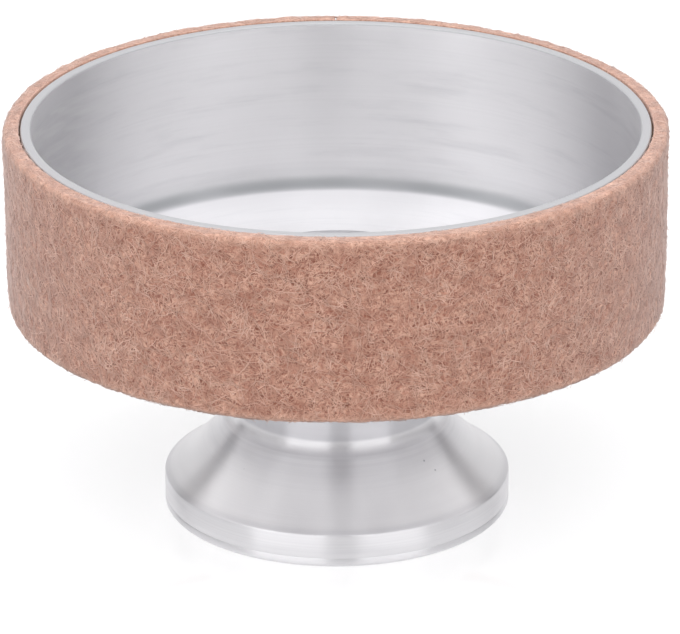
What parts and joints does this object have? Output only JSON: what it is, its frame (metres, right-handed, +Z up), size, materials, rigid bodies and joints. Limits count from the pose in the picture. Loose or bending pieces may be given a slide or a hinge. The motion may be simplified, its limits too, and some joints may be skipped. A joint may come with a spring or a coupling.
{
  "type": "saxophone mute",
  "caption": "Open aluminium cup with a felt band round its wall, clamped by a ring nut to a flared foot with a through bore; it sits in a saxophone's bell.",
  "frame": {"origin": "centre of the foot's underside, on the surface that the mute stands on", "axes": "+Z up along the axis of revolution, from the foot to the cup's lip; +Y points at the felt's seam, at the back"},
  "size_m": [0.09, 0.09, 0.0553],
  "materials": {
    "turned_aluminium": "bare aluminium, lathe turned to a satin with fine rings",
    "wool_felt": "pressed wool felt, pinkish tan, with loose surface fibres",
    "contact_cement": "dried contact cement, brown and dull",
    "vulcanised_fibre": "red-brown vulcanised fibre sheet, cut edge",
    "nitrile_rubber": "black sheet rubber, matt"
  },
  "bodies": {
    "root": {"cup_shell": "turned_aluminium", "flared_foot": "turned_aluminium", "ring_nut": "turned_aluminium", "nut_washer": "vulcanised_fibre", "seat_gasket": "nitrile_rubber", "felt_band": "wool_felt", "felt_adhesive": "contact_cement"}
  },
  "joints": []
}
